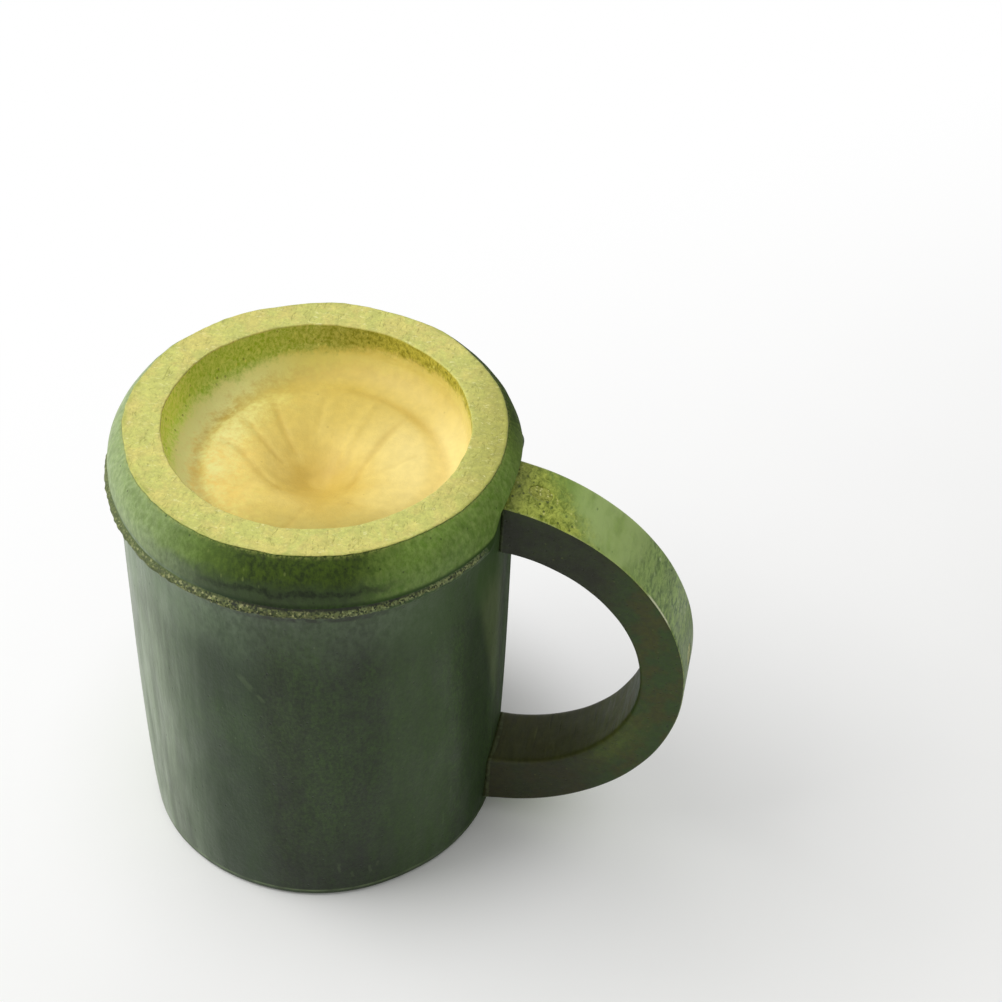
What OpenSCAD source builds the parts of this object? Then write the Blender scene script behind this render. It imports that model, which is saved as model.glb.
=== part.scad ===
// Bamboo cup: a length of culm with one natural node near the top, and a handle
// sliced from a round culm, coped to the wall and held by bamboo pegs.
// The cup's axis is Z, its foot stands on Z = 0 and the handle points along +X.

/* [Culm] */
// Height of the cup, from its foot to the sawn rim
cup_h = 109; // [104:1:125]
// Outside diameter of the sawn rim
rim_d = 80; // [76:0.5:84]
// How far the swollen node above the sheath scar stands out past the rim
node_out = 4; // [3.2:0.1:5]
// How far the culm half-way up stands out past the rim
waist_out = 2.4; // [1.4:0.1:3]
// How far the culm's foot stands out past the rim
foot_out = 1.2; // [0:0.1:2]
// Thickness of the culm's wall at its foot
foot_wall = 8.2; // [7:0.1:10]
// Bevel on the outer edge of the foot
foot_bevel = 0.8; // [0.4:0.1:1.5]
// Height over which the node rounds in to the rim
shoulder_h = 9; // [6:0.5:10]
// Angle through which the shoulder has turned in where the rim is sawn
shoulder_turn = 60; // [45:5:90]

/* [Sheath scar] */
// Distance from the rim down to the middle of the sheath scar
scar_depth = 11.3; // [10.5:0.1:14]
// How far the scar stands out from the node
scar_out = 1.1; // [0.6:0.1:1.6]
// Height of the scar's lip
scar_h = 1.6; // [0.8:0.1:2]
// Height of the flare under the scar
flare_h = 9; // [6:0.5:12]

/* [Top bowl] */
// Width of the cut ring at the rim, from the skin in to the bored wall
rim_wall = 7.8; // [7:0.1:10]
// Depth of the straight bored wall
bowl_wall_depth = 5.4; // [4:0.2:6]
// Depth of the bowl at its centre
bowl_depth = 17.8; // [16:0.2:20]
// Thickness of the node's diaphragm
diaphragm_t = 3.2; // [2.5:0.1:5]

/* [Handle] */
// Distance from the rim down to the highest point of the handle
handle_drop = 8; // [6:0.5:12]
// Gap between the table and the lowest point of the handle
handle_lift = 5; // [3:0.5:8]
// Thickness of the handle's culm, on average round its skin
handle_wall = 14; // [11:0.5:15]
// Width of the slice
handle_w = 16; // [13:0.5:18]
// Distance from the cup's skin in to the axis of the handle's outer skin
handle_sink = 6.4; // [4.5:0.1:8]
// How far the flat planed for the handle's ends lies outside the culm's foot
seat_out = 0.1; // [0.05:0.05:0.35]
// Distance by which the handle's hole lies further out than its skin
handle_shift_x = 4; // [2:0.5:5]
// Distance by which the handle's hole lies higher than its skin
handle_shift_z = 0.5; // [0:0.1:1.5]
// Bevel on the handle's long edges
handle_bevel = 0.6; // [0.3:0.1:1]

/* [Pegs] */
// Diameter of the two pegs that hold the handle
peg_d = 4; // [3:0.1:5]
// Length of each peg
peg_len = 14; // [12:0.5:16]
// Angle round the handle's skin at which each peg is driven
peg_angle = 75; // [68:1:78]
// Slant of each peg from the horizontal
peg_slant = 35; // [25:1:45]
// Diameter of the plug in the middle of the handle's skin
plug_d = 5; // [4:0.1:6]
// Length of the plug
plug_len = 6; // [4:0.5:7]
// Angle round the handle's skin at which the plug sits
plug_angle = 7; // [0:1:12]

/* [Fits] */
// Gap between a handle end and the culm that it is coped to
cope_gap = 0.05; // [0.02:0.01:0.15]
// Gap all round a peg or plug in its hole
peg_gap = 0.03; // [0.01:0.01:0.1]
// Depth of a peg's or plug's head below the skin
head_recess = 0.15; // [0.05:0.05:0.4]

/* [Hidden] */
$fn = 96;
curve_steps = 4;
shoulder_steps = 10;
overrun = 2;

rim_r = rim_d / 2;
node_r = rim_r + node_out;
waist_r = rim_r + waist_out;
foot_r = rim_r + foot_out;
scar_z = cup_h - scar_depth;
scar_r = node_r + scar_out;
bowl_r = rim_r - rim_wall;
hollow_r = foot_r - foot_wall;
handle_r = (cup_h - handle_drop - handle_lift) / 2;
handle_hole_r = handle_r - handle_wall;
handle_x = waist_r - handle_sink;
seat_x = foot_r + seat_out;
handle_z = handle_lift + handle_r;
hole_x = handle_x + handle_shift_x;
hole_z = handle_z + handle_shift_z;

skin_green = [0.25, 0.33, 0.18];
handle_green = [0.42, 0.52, 0.26];
peg_tan = [0.62, 0.58, 0.33];

// Culm side from the foot up to the flare: share of the height, and of the step from foot to waist
side_shares = [[0.12, 0.45], [0.3, 0.85], [0.5, 1], [0.8, 1]];

// Bowl floor from the centre out: share of the bowl's radius, and of its centre depth
bowl_shares = [
    [0, 1], [0.07, 0.985], [0.19, 0.875], [0.37, 0.705], [0.56, 0.64],
    [0.7, 0.625], [0.81, 0.65], [0.91, 0.58], [0.98, 0.44]
];

// Roof of the lower hollow, the same way: share of the hollow's radius, and of the bowl's depth
roof_shares = [
    [0, 1], [0.1, 0.98], [0.24, 0.87], [0.45, 0.76], [0.66, 0.78], [0.84, 0.92], [0.96, 1.2]
];
roof_foot_share = 1.5;

// A smooth curve through the points of p, with curve_steps pieces between each pair
function through(p) = [
    for (i = [0:len(p) - 2], s = [0:curve_steps - 1])
        let (
            t = s / curve_steps,
            a = p[max(i - 1, 0)],
            b = p[i],
            c = p[i + 1],
            d = p[min(i + 2, len(p) - 1)]
        )
        b + (c - a) * t / 2 + (2 * a - 5 * b + 4 * c - d) * t * t / 2
            + (3 * b - a - 3 * c + d) * t * t * t / 2,
    p[len(p) - 1]
];

// Outside of the culm from foot to rim, as [radius, height], grown outwards by grow
function culm_side(grow) = concat(
    [[foot_r - foot_bevel + grow, 0]],
    through(concat(
        [[foot_r + grow, foot_bevel]],
        [for (q = side_shares) [foot_r + (waist_r - foot_r) * q[1] + grow, (scar_z - flare_h) * q[0]]],
        [[waist_r + grow, scar_z - flare_h]],
        [[(waist_r + node_r) / 2 + grow, scar_z - scar_h]]
    )),
    [
        [scar_r + grow, scar_z - scar_h / 2],
        [scar_r + grow, scar_z + scar_h / 4],
        [node_r + grow, scar_z + scar_h / 2]
    ],
    [
        for (i = [0:shoulder_steps])
            let (
                a = shoulder_turn * i / shoulder_steps,
                in_share = (1 - cos(a)) / (1 - cos(shoulder_turn)),
                up_share = sin(a) / sin(shoulder_turn)
            )
            [node_r - node_out * in_share + grow, cup_h - shoulder_h * (1 - up_share)]
    ]
);

function reverse(p) = [for (i = [len(p) - 1:-1:0]) p[i]];

// Inside of the bowl, from the rim down the bored wall and in to the centre of the diaphragm
function bowl_side() = concat(
    [[bowl_r, cup_h]],
    reverse(through(concat(
        [for (s = bowl_shares) [bowl_r * s[0], cup_h - bowl_depth * s[1]]],
        [[bowl_r, cup_h - bowl_wall_depth]]
    )))
);

// Roof of the lower hollow, from its centre out to the hollow's wall
function roof_side() = through(concat(
    [for (s = roof_shares) [hollow_r * s[0], cup_h - diaphragm_t - bowl_depth * s[1]]],
    [[hollow_r, cup_h - diaphragm_t - bowl_depth * roof_foot_share]]
));

// All that lies past the flat planed for the handle, moved outwards by grow
module past_seat(grow) {
    translate([seat_x + grow, -scar_r - overrun, -overrun])
        cube([scar_r - seat_x + overrun, 2 * (scar_r + overrun), cup_h + 2 * overrun]);
}

// The culm's outer shape as one filled solid, which the handle's ends are cut to
module culm_blank(grow) {
    difference() {
        rotate_extrude()
            polygon(concat([[0, 0]], culm_side(grow), [[0, cup_h]]));
        past_seat(grow);
    }
}

// Places a child's +Z along the way that a peg leaves the handle's skin
module on_skin(angle, slant) {
    translate([handle_x + handle_r * cos(angle), 0, handle_z + handle_r * sin(angle)])
        rotate([0, 90 - slant, 0])
            children();
}

// A straight hole with its mouth past the skin
module skin_hole(angle, slant, d, len) {
    on_skin(angle, slant)
        translate([0, 0, -len - head_recess - peg_gap])
            cylinder(d = d + 2 * peg_gap, h = len + head_recess + peg_gap + overrun);
}

// A peg or plug, its head cut to the curve of the skin
module skin_peg(angle, slant, d, len) {
    intersection() {
        on_skin(angle, slant)
            translate([0, 0, -len - head_recess])
                cylinder(d = d, h = len + head_recess + overrun);
        translate([handle_x, handle_w / 2, handle_z])
            rotate([90, 0, 0])
                cylinder(r = handle_r - head_recess, h = handle_w);
    }
}

// The slice of culm before its ends are cut, with bevelled edges
module handle_ring() {
    difference() {
        translate([handle_x, handle_w / 2, handle_z])
            rotate([90, 0, 0])
                rotate_extrude()
                    polygon([
                        [0, 0],
                        [handle_r - handle_bevel, 0],
                        [handle_r, handle_bevel],
                        [handle_r, handle_w - handle_bevel],
                        [handle_r - handle_bevel, handle_w],
                        [0, handle_w]
                    ]);
        translate([hole_x, handle_w / 2, hole_z])
            rotate([90, 0, 0])
                rotate_extrude()
                    polygon([
                        [0, -overrun],
                        [handle_hole_r + handle_bevel, -overrun],
                        [handle_hole_r + handle_bevel, 0],
                        [handle_hole_r, handle_bevel],
                        [handle_hole_r, handle_w - handle_bevel],
                        [handle_hole_r + handle_bevel, handle_w],
                        [handle_hole_r + handle_bevel, handle_w + overrun],
                        [0, handle_w + overrun]
                    ]);
    }
}

module culm_body() {
    color(skin_green)
        difference() {
            rotate_extrude()
                polygon(concat(
                    [[hollow_r, 0]],
                    culm_side(0),
                    bowl_side(),
                    roof_side()
                ));
            past_seat(0);
            skin_hole(peg_angle, peg_slant, peg_d, peg_len);
            skin_hole(-peg_angle, -peg_slant, peg_d, peg_len);
        }
}

module handle() {
    color(handle_green)
        difference() {
            handle_ring();
            culm_blank(cope_gap);
            skin_hole(peg_angle, peg_slant, peg_d, peg_len);
            skin_hole(-peg_angle, -peg_slant, peg_d, peg_len);
            skin_hole(plug_angle, plug_angle, plug_d, plug_len);
        }
}

module upper_peg() {
    color(peg_tan)
        skin_peg(peg_angle, peg_slant, peg_d, peg_len);
}

module lower_peg() {
    color(peg_tan)
        skin_peg(-peg_angle, -peg_slant, peg_d, peg_len);
}

module handle_plug() {
    color(peg_tan)
        skin_peg(plug_angle, plug_angle, plug_d, plug_len);
}

culm_body();
handle();
upper_peg();
lower_peg();
handle_plug();
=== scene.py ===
import math

import bmesh
import bpy
from mathutils import Matrix, Vector, noise


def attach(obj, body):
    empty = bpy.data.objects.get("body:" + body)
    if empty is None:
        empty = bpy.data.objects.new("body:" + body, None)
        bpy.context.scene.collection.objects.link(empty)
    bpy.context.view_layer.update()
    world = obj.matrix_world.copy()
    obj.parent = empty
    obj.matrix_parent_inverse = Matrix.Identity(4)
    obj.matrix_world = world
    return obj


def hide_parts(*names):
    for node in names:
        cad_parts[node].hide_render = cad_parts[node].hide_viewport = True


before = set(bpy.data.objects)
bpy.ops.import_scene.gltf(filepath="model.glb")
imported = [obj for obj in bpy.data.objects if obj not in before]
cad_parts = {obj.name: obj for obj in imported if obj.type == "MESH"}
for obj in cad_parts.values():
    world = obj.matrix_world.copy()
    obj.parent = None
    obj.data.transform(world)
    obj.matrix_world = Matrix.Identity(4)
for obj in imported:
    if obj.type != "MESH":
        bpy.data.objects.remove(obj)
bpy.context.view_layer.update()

# Lengths below are in millimetres, as in the part's source, and become metres in put()
MM = 0.001
BODY = "root"

# The culm, from its foot to the sawn rim
CUP_H = 109.0
RIM_R = 40.0
NODE_R = 44.0
WAIST_R = 42.4
FOOT_R = 41.2
FOOT_BEVEL = 0.8
FOOT_WALL = 8.2
SHOULDER_H = 9.0
SHOULDER_TURN = 60.0
SCAR_Z = 97.7
SCAR_R = 45.1
SCAR_H = 1.6
FLARE_H = 9.0
RIM_WALL = 7.8
BOWL_R = RIM_R - RIM_WALL
BOWL_WALL_DEPTH = 5.4
BOWL_DEPTH = 17.8
DIAPHRAGM_T = 3.2
HOLLOW_R = FOOT_R - FOOT_WALL
SIDE_SHARES = [(0.12, 0.45), (0.3, 0.85), (0.5, 1), (0.8, 1)]
BOWL_SHARES = [
    (0, 1), (0.07, 0.985), (0.19, 0.875), (0.37, 0.705), (0.56, 0.64),
    (0.7, 0.625), (0.81, 0.65), (0.91, 0.58), (0.98, 0.44),
]
ROOF_SHARES = [(0, 1), (0.1, 0.98), (0.24, 0.87), (0.45, 0.76), (0.66, 0.78), (0.84, 0.92), (0.96, 1.2)]
ROOF_FOOT_SHARE = 1.5

# The flat planed for the handle's ends, eased out over the shoulder above it
SEAT_X = 41.3
SEAT_EASE_FROM, SEAT_EASE_TO, SEAT_EASE_OUT = 100.6, 106.5, 3.0
SEAT_BLEND = 0.5

# The handle's slice of culm: its skin and its hole are circles with centres of their own
SKIN_X, SKIN_Z, SKIN_R = 36.0, 53.0, 48.0
HOLE_X, HOLE_Z, HOLE_R = 40.0, 53.5, 34.0
HANDLE_W = 16.0
SKIN_EDGE_ROUND = 1.0
HOLE_EDGE_ROUND = 1.5
COPE_GAP = 0.04

# Pegs and plug: angle round the skin, slant, hole diameter and depth
PEG_HOLES = [(75.0, 35.0, 4.06, 14.2), (-75.0, -35.0, 4.06, 14.2), (7.0, 7.0, 5.06, 6.2)]

# How finely the meshes are made
CULM_TURNS = 512
SHOULDER_STEPS = 30
HANDLE_STEPS = 200
HANDLE_CORNER_STEPS = 6
END_CUT_STEPS = 22
BORE_SIDES = 48
ON_AXIS = 0.01


def srgb(r, g, b):
    """A colour of 0 to 255 display values, as the linear values that a shader takes."""
    def linear(v):
        v /= 255
        return v / 12.92 if v <= 0.04045 else ((v + 0.055) / 1.055) ** 2.4
    return (linear(r), linear(g), linear(b), 1.0)


def smooth(low, high, x):
    """0 below low, 1 above high and an even turn between them."""
    t = min(max((x - low) / (high - low), 0.0), 1.0)
    return t * t * (3 - 2 * t)


def lerp(a, b, t):
    return a + (b - a) * t


# The culm's profile

def through(points, steps):
    """A smooth curve through the points, with steps pieces between each pair."""
    out = []
    for i in range(len(points) - 1):
        a, b = points[max(i - 1, 0)], points[i]
        c, d = points[i + 1], points[min(i + 2, len(points) - 1)]
        for s in range(steps):
            t = s / steps
            out.append(tuple(
                b[k] + (c[k] - a[k]) * t / 2 + (2 * a[k] - 5 * b[k] + 4 * c[k] - d[k]) * t * t / 2
                + (3 * b[k] - a[k] - 3 * c[k] + d[k]) * t ** 3 / 2
                for k in (0, 1)
            ))
    out.append(tuple(points[-1]))
    return out


def respaced(points, gap):
    """The same line with points about gap apart."""
    out = [points[0]]
    for (r0, z0), (r1, z1) in zip(points, points[1:]):
        n = max(1, round(math.hypot(r1 - r0, z1 - z0) / gap))
        out += [(lerp(r0, r1, k / n), lerp(z0, z1, k / n)) for k in range(1, n + 1)]
    return out


def rounded_corner(before, corner, after, radius, steps=4):
    """The points of an eased corner, in place of the corner itself."""
    b, c, a = Vector(before), Vector(corner), Vector(after)
    start = c + (b - c).normalized() * radius
    end = c + (a - c).normalized() * radius
    return [
        tuple(start.lerp(c, k / steps).lerp(c.lerp(end, k / steps), k / steps))
        for k in range(steps + 1)
    ]


def shoulder_points():
    """The node's side where it turns in to the rim."""
    turn_all = math.radians(SHOULDER_TURN)
    points = []
    for k in range(SHOULDER_STEPS + 1):
        turn = turn_all * k / SHOULDER_STEPS
        inward = (1 - math.cos(turn)) / (1 - math.cos(turn_all))
        up = math.sin(turn) / math.sin(turn_all)
        points.append((lerp(NODE_R, RIM_R, inward), CUP_H - SHOULDER_H * (1 - up)))
    return points


def culm_profile():
    """The culm's closed outline as (radius, height, zone): up the side, over the rim and down again."""
    lip = SCAR_Z - SCAR_H / 2
    side = through(
        [(FOOT_R, FOOT_BEVEL)]
        + [(lerp(FOOT_R, WAIST_R, q), (SCAR_Z - FLARE_H) * s) for s, q in SIDE_SHARES]
        + [(WAIST_R, SCAR_Z - FLARE_H), ((WAIST_R + NODE_R) / 2, SCAR_Z - SCAR_H)],
        6,
    )
    scar = [side[-1], (SCAR_R - 0.35, lip - 0.1), (SCAR_R, lip + 0.25), (SCAR_R, lip + 0.8)]
    scar += [(SCAR_R - 0.3, lip + 1.15), (NODE_R + 0.15, lip + 1.5), (NODE_R - 0.12, lip + 1.9)]
    shoulder = shoulder_points()
    rim_edge = rounded_corner(shoulder[-2], (RIM_R, CUP_H), (RIM_R - 2, CUP_H), 0.3)
    bore_edge = rounded_corner((BOWL_R + 2, CUP_H), (BOWL_R, CUP_H), (BOWL_R, CUP_H - 2), 0.35)
    bowl = through(
        [(BOWL_R * s, CUP_H - BOWL_DEPTH * q) for s, q in BOWL_SHARES]
        + [(BOWL_R, CUP_H - BOWL_WALL_DEPTH)],
        10,
    )[::-1]
    roof = through(
        [(HOLLOW_R * s, CUP_H - DIAPHRAGM_T - BOWL_DEPTH * q) for s, q in ROOF_SHARES]
        + [(HOLLOW_R, CUP_H - DIAPHRAGM_T - BOWL_DEPTH * ROOF_FOOT_SHARE)],
        4,
    )
    parts = [
        ("foot", respaced([(HOLLOW_R, 0), (FOOT_R - FOOT_BEVEL, 0)], 0.8)),
        ("skin", respaced([(FOOT_R - FOOT_BEVEL, 0), (FOOT_R, FOOT_BEVEL)], 0.35)[1:]),
        ("skin", respaced(side, 1.1)[1:]),
        ("scar", respaced(scar, 0.24)[1:]),
        ("skin", respaced([p for p in shoulder[:-1] if p[1] > scar[-1][1] + 0.2], 0.45)),
        ("rim", rim_edge),
        ("rim", respaced([rim_edge[-1], bore_edge[0]], 0.42)[1:-1]),
        ("rim", bore_edge),
        ("bowl", respaced([bore_edge[-1], (BOWL_R, CUP_H - BOWL_WALL_DEPTH)], 0.38)[1:]),
        ("bowl", respaced(bowl, 0.5)[1:]),
        ("hollow", respaced(roof, 1.6)),
        ("hollow", respaced([roof[-1], (HOLLOW_R, 0.9)], 2.4)[1:]),
        ("foot", [(HOLLOW_R, 0.4), (HOLLOW_R + 0.1, 0.1)]),
    ]
    return [(r, z, zone) for zone, line in parts for r, z in line]


# Directions round the cup in degrees, as the photograph sees it: the handle is at 0
LEFT, RIGHT, FRONT = 197.0, -22.0, -73.0
ACROSS = FRONT + 90


# Relief on the culm

# How the culm grew out of round, and the swelling low on its front left
OVAL_DEPTH, OVAL_TURN = 0.16, 0.5
FOOT_SWELL, FOOT_SWELL_AT = 0.8, -105.0
# Where the scar sags, by how much, and how far from it the skin follows
SAG, SAG_DEPTH, SCAR_REACH = -70.0, 1.0, 4.2
# The ring pressed into the diaphragm
RING_R, RING_WIDTH, RING_DEPTH = 26.0, 1.7, 0.22
# Folds of the diaphragm: points as (radius, angle in degrees), depth and half width
FOLD_STEPS = 5
FOLDS = [
    ([(25.0, 176), (19.0, 178), (13.4, -163), (11.0, -140), (9.6, -118)], 0.3, 1.0),
    ([(23.0, 151), (18.8, 156), (11.1, 168), (7.0, 176)], 0.22, 0.8),
    ([(22.0, 132), (15.9, 136), (10.4, 142), (5.8, 142)], 0.25, 0.9),
    ([(24.0, 72), (18.5, 70), (10.6, 64.5), (3.7, 29)], -0.25, 1.1),
    ([(25.0, 50), (19.1, 47), (10.8, 27), (8.4, 8), (8.1, -20), (8.6, -40)], 0.26, 1.1),
    ([(23.0, 20), (17.0, 12), (13.0, 2)], 0.14, 0.8),
    ([(24.0, 100), (16.0, 103), (10.0, 108)], 0.12, 0.9),
    ([(24.5, -30), (18.0, -36), (13.0, -52)], 0.14, 0.9),
    ([(24.5, -95), (18.5, -90), (12.5, -84)], 0.16, 0.9),
    ([(24.0, -150), (18.0, -142), (13.0, -128)], 0.14, 0.8),
]


def flat(radius, degrees):
    a = math.radians(degrees)
    return Vector((radius * math.cos(a), radius * math.sin(a)))


FOLD_LINES = [
    ([Vector(q) for q in through([tuple(flat(*p)) for p in points], FOLD_STEPS)], depth, width)
    for points, depth, width in FOLDS
]


def line_distance(point, line):
    """How far a point is from a line of points, and how far along the line, from 0 to 1."""
    best, along = 1e9, 0.0
    last = len(line) - 1
    for i in range(last):
        a, b = line[i], line[i + 1]
        d = b - a
        t = min(max((point - a).dot(d) / d.length_squared, 0.0), 1.0)
        gap = (point - a - d * t).length
        if gap < best:
            best, along = gap, (i + t) / last
    return best, along


def fold_depth_at(x, y):
    """Sum of the diaphragm's folds at a point, in mm below the plain bowl."""
    point = Vector((x, y))
    wander = noise.noise(Vector((x * 0.3, y * 0.3, 5.0))) * 0.6
    total = 0.0
    for line, depth, width in FOLD_LINES:
        gap, along = line_distance(point, line)
        if gap < 4 * width:
            fade = smooth(0.0, 0.25, along) * (1 - smooth(0.8, 1.0, along))
            total += depth * fade * math.exp(-((gap + wander * 0.4) / width) ** 2)
    return total


def facing(a, degrees):
    """1 where the angle a points in a direction round the cup, and -1 on the far side."""
    return math.cos(a - math.radians(degrees))


def ripple(x, y, z, size, seed):
    """Even noise from -1 to 1 with lumps about size mm across."""
    return noise.noise(Vector((x / size + seed, y / size - seed, z / size + 2 * seed)))


def planed(r, z, a):
    """The radius left at angle a where the flat for the handle is planed."""
    if math.cos(a) < 0.5:
        return r
    limit = (SEAT_X + SEAT_EASE_OUT * smooth(SEAT_EASE_FROM, SEAT_EASE_TO, z)) / math.cos(a)
    near = max(SEAT_BLEND - abs(r - limit), 0.0)
    return min(r, limit) - near * near / (4 * SEAT_BLEND)


def outside_shift(x, y, z, r, a):
    """How far the culm stands out where it grew out of round and the rim wore down."""
    out = OVAL_DEPTH * (math.cos(2 * (a - OVAL_TURN)) - 1)
    out += 0.16 * (ripple(x, y, z * 0.4, 24, 1) - 0.5)
    out += 0.03 * (ripple(x, y, z * 0.05, 2.6, 2) - 0.4)
    out += FOOT_SWELL * smooth(36, 3, z) * smooth(0.5, 0.95, facing(a, FOOT_SWELL_AT))
    near_rim = smooth(CUP_H - 4.5, CUP_H, z)
    out += near_rim * (0.42 * (ripple(x, y, 0, 11, 3) - 0.1) + 0.14 * ripple(x, y, 0, 2.0, 4))
    return out * smooth(36.5, RIM_R, r)


def scar_shift(x, y, z, r, a):
    """How far the scar's lip is worn in, and how far the scar runs down."""
    wear = 0.5 * smooth(0.7, 0.97, facing(a, RIGHT)) + 0.1 * smooth(0.5, 0.95, facing(a, LEFT))
    wear += 0.3 * max(0.0, ripple(x, y, z, 1.3, 9) + 0.3)
    wear += 0.3 * max(0.0, ripple(x, y, z, 6.5, 10) + 0.15)
    down = SAG_DEPTH * smooth(0.2, 0.7, facing(a, SAG))
    down -= 0.22 * ripple(x, y, 0, 19, 7) + 0.12 * ripple(x, y, 0, 4.2, 8)
    return wear * max(r - NODE_R, 0.0), down * (1 - smooth(1.2, SCAR_REACH, abs(z - SCAR_Z)))


def bored_shift(x, y, z, r):
    """How far the bored wall and the rim's inner edge stand out of round."""
    bored = smooth(36.0, BOWL_R + 0.2, r) * smooth(CUP_H - 9, CUP_H - 3, z)
    return bored * (0.3 * ripple(x, y, z * 0.3, 10, 11) + 0.14 * ripple(x, y, z * 0.4, 2.2, 12))


def diaphragm_relief(x, y, r, a):
    """How far the diaphragm stands above the plain bowl, and the painted shade of its folds and ring,
    darkest in their valleys.
    """
    inside = smooth(BOWL_R - 0.5, BOWL_R - 4, r)
    fold = fold_depth_at(x, y)
    ring_r = RING_R + 0.8 * math.cos(a) - 2.8 * max(math.sin(a), 0.0) ** 2
    ring_r += 0.6 * ripple(x, y, 0, 9, 15)
    ring = math.exp(-((r - ring_r) / RING_WIDTH) ** 2)
    ring *= 0.6 + 0.8 * max(ripple(x, y, 0, 14, 18) + 0.3, 0.0)
    ring *= 0.35 + 0.65 * smooth(0.2, 0.9, abs(facing(a, LEFT)))
    ring *= 1 + 0.35 * smooth(0.4, 0.9, facing(a, LEFT - 25))
    wrinkle = noise.noise(Vector((math.cos(a) * 2.6, math.sin(a) * 2.6, r * 0.03)))
    spread = smooth(2, 9, r) * (1 - smooth(22, 28, r))
    rise = 0.2 * wrinkle * spread + 0.1 * ripple(x, y, 0, 5, 16) * inside
    # tint is painted shade: darker along the folds' valleys and the pressed ring
    tint = max(fold, 0.0) / 0.35 + 0.85 * ring - max(-wrinkle, 0) * 0.5 * spread
    return rise - fold - RING_DEPTH * ring * inside, tint


def culm_point(r, z, zone, a):
    """Where a profile point lies at angle a with the culm's unevenness added, and its painted fold shade.
    """
    x, y = r * math.cos(a), r * math.sin(a)
    dr = dz = tint = 0.0
    if zone in ("skin", "scar", "rim", "foot") and r > (RIM_R + BOWL_R) / 2:
        dr += outside_shift(x, y, z, r, a)
    if zone == "skin" and z > SCAR_Z:
        dr += 0.12 * (ripple(x, y, z, 5, 6) - 0.4)
    if zone in ("scar", "skin") and abs(z - SCAR_Z) < SCAR_REACH:
        inward, down = scar_shift(x, y, z, r, a)
        dr -= inward
        dz -= down
    if zone in ("rim", "bowl") and z > CUP_H - 7:
        dr += bored_shift(x, y, z, r)
        if zone == "rim":
            dz -= 0.05 * (1 + ripple(x, y, 0, 3.5, 13)) * smooth(RIM_R + 0.2, RIM_R - 1, r)
        else:
            dr += 0.07 * ripple(x, y, z, 0.9, 14)
    if zone == "bowl" and r < BOWL_R - 0.5:
        rise, tint = diaphragm_relief(x, y, r, a)
        dz += rise
    if zone == "hollow" and r > 1:
        dr += 0.12 * ripple(x, y, z * 0.06, 2.6, 17)
    r += dr
    if zone in ("skin", "scar"):
        r = planed(r, z, a)
    return r * math.cos(a), r * math.sin(a), z + dz, tint


def culm_radius(a, z):
    """Radius of the uneven culm at an angle and height, which the handle's ends are cut to."""
    rows = OUTSIDE_ROWS
    for (r0, z0, zone), (r1, z1, _) in zip(rows, rows[1:]):
        if z0 <= z <= z1:
            r = lerp(r0, r1, (z - z0) / (z1 - z0))
            x, y, _, _ = culm_point(r, z, zone, a)
            return math.hypot(x, y)
    return RIM_R


# Placing meshes

def add(name, data):
    """A new object in the scene."""
    made = bpy.data.objects.new(name, data)
    bpy.context.scene.collection.objects.link(made)
    return made


def put(name, vertices, faces, zones, zone_materials, fold_shades=None):
    """A mesh object from mm vertices, with one material a zone, on the cup's only body."""
    mesh = bpy.data.meshes.new(name)
    mesh.from_pydata([tuple(c * MM for c in v) for v in vertices], [], faces)
    mesh.polygons.foreach_set("use_smooth", [True] * len(faces))
    order = list(zone_materials)
    for key in order:
        mesh.materials.append(zone_materials[key])
    mesh.polygons.foreach_set("material_index", [order.index(z) for z in zones])
    # The diaphragm's painted fold shade is kept as the fold attribute
    if fold_shades:
        mesh.attributes.new("fold", "FLOAT", "POINT").data.foreach_set("value", fold_shades)
    mesh.update()
    piece = add(name, mesh)
    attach(piece, BODY)
    return piece


def culm_faces(rows, starts):
    """The faces between rows of points, and their zones; a row on the axis is one point."""
    faces, zones = [], []
    for i, j in zip(range(len(rows)), [*range(1, len(rows)), 0]):
        if max(rows[i][0], rows[j][0]) <= ON_AXIS:
            continue
        zone = "shoulder" if rows[j][2] == "skin" and rows[j][1] > SCAR_Z else rows[j][2]
        for k in range(CULM_TURNS):
            n = (k + 1) % CULM_TURNS
            corners = [
                starts[row] + (turn if rows[row][0] > ON_AXIS else 0)
                for row, turn in ((i, k), (i, n), (j, n), (j, k))
            ]
            faces.append(tuple(dict.fromkeys(corners)))
            on_flat = math.cos(math.tau * (k + 0.5) / CULM_TURNS) * SCAR_R > SEAT_X + 0.4
            zones.append("skin" if zone == "scar" and on_flat else zone)
    return faces, zones


def make_culm(materials):
    """The culm: one closed surface turned round the axis."""
    rows = culm_profile()
    vertices, fold_shades, starts = [], [], []
    for r, z, zone in rows:
        starts.append(len(vertices))
        turns = CULM_TURNS if r > ON_AXIS else 1
        for k in range(turns):
            x, y, h, tint = culm_point(r, z, zone, math.tau * k / turns)
            vertices.append((x, y, h))
            fold_shades.append(tint)
    faces, zones = culm_faces(rows, starts)
    culm = put("bamboo_culm", vertices, faces, zones, materials, fold_shades)
    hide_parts("culm_body")


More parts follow.
